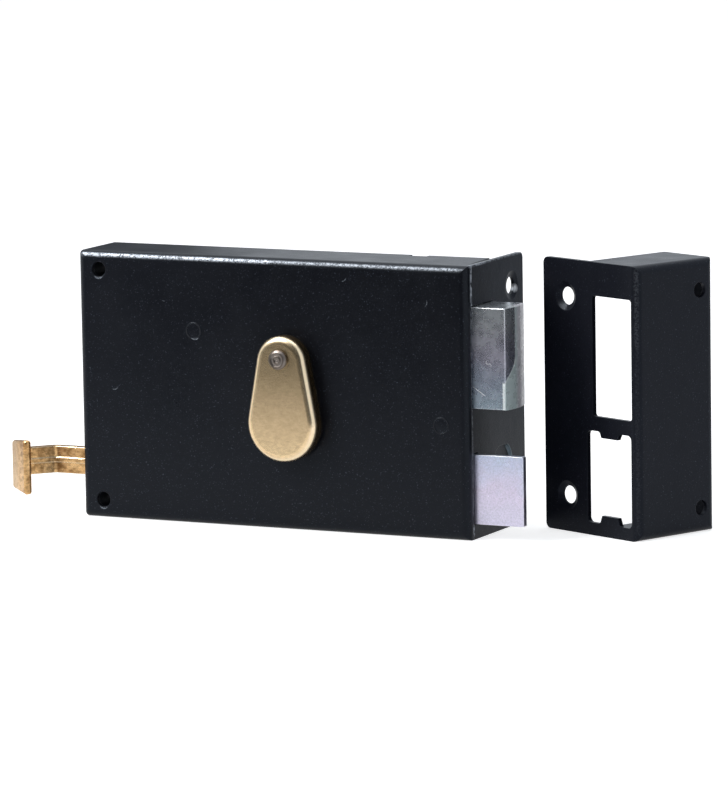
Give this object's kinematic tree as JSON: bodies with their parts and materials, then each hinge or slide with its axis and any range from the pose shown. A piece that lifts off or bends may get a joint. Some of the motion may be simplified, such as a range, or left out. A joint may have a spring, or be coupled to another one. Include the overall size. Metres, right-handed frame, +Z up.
{
  "type": "rim box lock with keep",
  "caption": "Horizontal rim box lock with sprung pull latch, key deadbolt, swinging key cover and a separate folded box keep.",
  "frame": {"origin": "the key axis, in the plane that lies against the door", "axes": "+X towards the forend and its bolts, +Y into the door along the key axis, +Z up"},
  "size_m": [0.2329, 0.0658, 0.088],
  "materials": {
    "black_paint": "satin black stoved paint with a fine texture",
    "painted_post": "steel, its riveted end under the same black paint",
    "back_steel": "satin black paint",
    "zinc_latch": "bright zinc plate with a faint blue and lilac cast",
    "zinc_bolt": "bright zinc plate with a faint blue and lilac cast",
    "plain_steel": "plain zinc-plated steel",
    "spring_steel": "drawn spring steel",
    "cast_brass": "cast brass, rubbed bright on its edges",
    "satin_brass": "satin pressed brass",
    "rivet_steel": "plain steel rivet head"
  },
  "bodies": {
    "lock": {"case_shell": "black_paint", "back_plate": "back_steel", "back_plate_screws": "plain_steel", "upper_post": "painted_post", "lower_post": "painted_post", "fixing_sleeves": "plain_steel", "spring_stop": "plain_steel", "latch_spring": "spring_steel", "lever_post": "plain_steel", "lever_post_clip": "plain_steel", "lever_springs": "spring_steel", "lever_spring_anchor": "plain_steel", "crank_post": "plain_steel", "crank_post_clip": "plain_steel", "key_cover_base": "satin_brass", "cover_rivet": "rivet_steel", "base_rivet": "plain_steel", "keep_shell": "black_paint"},
    "latch": {"latch_bolt": "zinc_latch", "latch_tail": "plain_steel", "latch_rivets": "plain_steel", "pull_slide": "plain_steel", "slide_rivets": "plain_steel", "pull_handle": "cast_brass"},
    "deadbolt": {"deadbolt": "zinc_bolt", "bolt_stump": "plain_steel"},
    "crank": {"latch_crank": "plain_steel"},
    "cover": {"key_cover": "satin_brass"},
    "lever_1": {"lever_1": "plain_steel"},
    "lever_2": {"lever_2": "plain_steel"},
    "lever_3": {"lever_3": "plain_steel"},
    "lever_4": {"lever_4": "plain_steel"}
  },
  "joints": [
    {"name": "latch_slide", "type": "slide", "parent": "lock", "child": "latch", "axis": [-1, 0, 0], "range_m": [0, 0.0115], "stiffness_N_per_m": 800, "springref_m": -0.008, "deforming": ["latch_spring"]},
    {"name": "crank_hinge", "type": "hinge", "parent": "lock", "child": "crank", "pos_m": [-0.0205, -0.0121, 0.0065], "axis": [0, -1, 0], "range_deg": [0, 33.43]},
    {"name": "deadbolt_slide", "type": "slide", "parent": "lock", "child": "deadbolt", "axis": [-1, 0, 0], "range_m": [0, 0.0171]},
    {"name": "cover_hinge", "type": "hinge", "parent": "lock", "child": "cover", "pos_m": [0, -0.0275, 0.0248], "axis": [0, 1, 0], "continuous": true},
    {"name": "lever_1_hinge", "type": "hinge", "parent": "lock", "child": "lever_1", "pos_m": [-0.0265, -0.0157, -0.0175], "axis": [0, -1, 0], "range_deg": [0, 3], "deforming": ["lever_springs"]},
    {"name": "lever_2_hinge", "type": "hinge", "parent": "lock", "child": "lever_2", "pos_m": [-0.0265, -0.0138, -0.0175], "axis": [0, -1, 0], "range_deg": [0, 3]},
    {"name": "lever_3_hinge", "type": "hinge", "parent": "lock", "child": "lever_3", "pos_m": [-0.0265, -0.0119, -0.0175], "axis": [0, -1, 0], "range_deg": [0, 3]},
    {"name": "lever_4_hinge", "type": "hinge", "parent": "lock", "child": "lever_4", "pos_m": [-0.0265, -0.01, -0.0175], "axis": [0, -1, 0], "range_deg": [0, 3]}
  ],
  "couplings": [
    {"joint": "crank_hinge", "follows": "latch_slide", "rad_per_m": 50.716}
  ]
}
